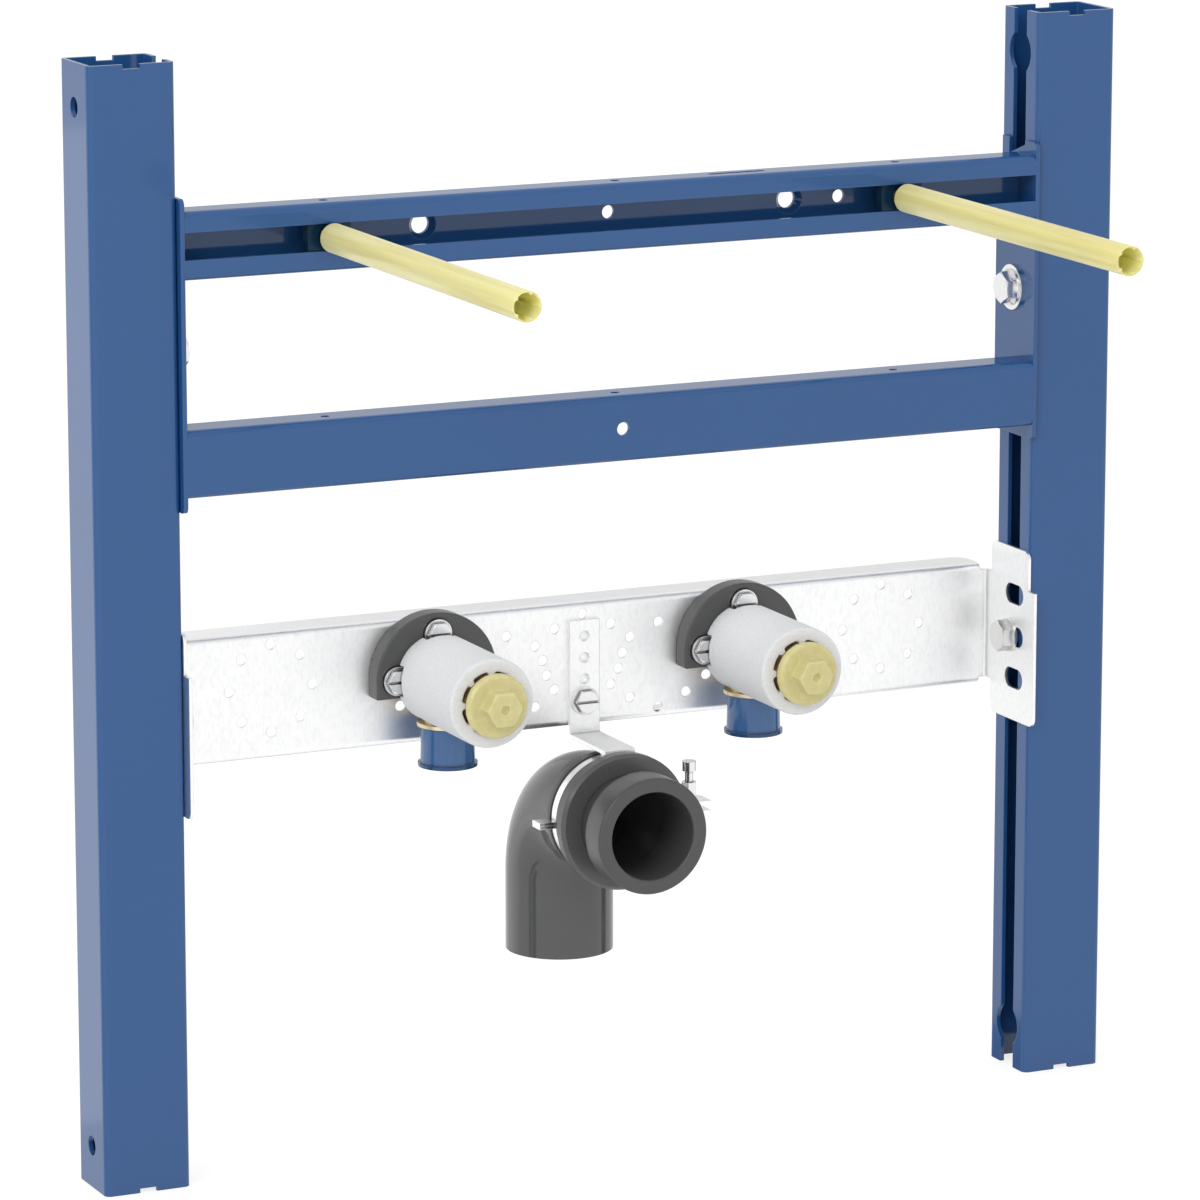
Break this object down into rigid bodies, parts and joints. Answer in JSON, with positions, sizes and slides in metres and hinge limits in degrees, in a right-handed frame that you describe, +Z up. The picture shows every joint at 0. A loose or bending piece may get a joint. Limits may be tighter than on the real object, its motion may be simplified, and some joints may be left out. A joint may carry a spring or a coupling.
{
  "type": "basin installation frame",
  "caption": "Open steel frame built into a wall to carry a wash basin: slotted uprights, rails with basin rods, and a perforated traverse with tap elbows and waste bend.",
  "frame": {"origin": "on the outer face of the left upright, at half its depth and at its lower end", "axes": "+X to the right as seen from the basin side, -Y to the front, +Z up"},
  "size_m": [0.5, 0.2994, 0.5],
  "materials": {
    "blue_paint": "glossy powder coat",
    "galvanised_sheet": "bright galvanised sheet",
    "zinc_steel": "zinc plated",
    "dark_steel": "blackened",
    "yellow_plastic": "smooth",
    "white_foam": "fine foam",
    "blue_plastic": "smooth",
    "grey_plastic": "satin pipe",
    "dark_rubber": "moulded rubber",
    "brass": "cast and turned"
  },
  "bodies": {
    "root": {"left_end_plate": "blue_paint", "left_rail_bolt": "zinc_steel", "left_rail_nut": "zinc_steel", "left_rail_washer": "zinc_steel", "left_rod": "dark_steel", "left_rod_nut": "blue_paint", "left_rod_tube": "yellow_plastic", "left_tap_cap": "blue_plastic", "left_tap_elbow": "brass", "left_tap_pad": "dark_rubber", "left_tap_plug": "yellow_plastic", "left_tap_screws": "zinc_steel", "left_tap_sleeve": "white_foam", "left_traverse_bolt": "zinc_steel", "left_traverse_nut": "zinc_steel", "left_traverse_washer": "zinc_steel", "left_upright": "blue_paint", "lower_rail": "blue_paint", "right_end_plate": "blue_paint", "right_rail_bolt": "zinc_steel", "right_rail_nut": "zinc_steel", "right_rail_washer": "zinc_steel", "right_rod": "dark_steel", "right_rod_nut": "blue_paint", "right_rod_tube": "yellow_plastic", "right_tap_cap": "blue_plastic", "right_tap_elbow": "brass", "right_tap_pad": "dark_rubber", "right_tap_plug": "yellow_plastic", "right_tap_screws": "zinc_steel", "right_tap_sleeve": "white_foam", "right_traverse_bolt": "zinc_steel", "right_traverse_nut": "zinc_steel", "right_traverse_washer": "zinc_steel", "right_upright": "blue_paint", "traverse": "galvanised_sheet", "upper_rail": "blue_paint", "waste_bend": "grey_plastic", "waste_bracket": "galvanised_sheet", "waste_bracket_screw": "zinc_steel", "waste_clamp_lining": "dark_rubber", "waste_clamp_lower": "galvanised_sheet", "waste_clamp_screw": "zinc_steel", "waste_clamp_upper": "galvanised_sheet", "waste_collar": "grey_plastic", "waste_nipple": "dark_rubber"}
  },
  "joints": []
}
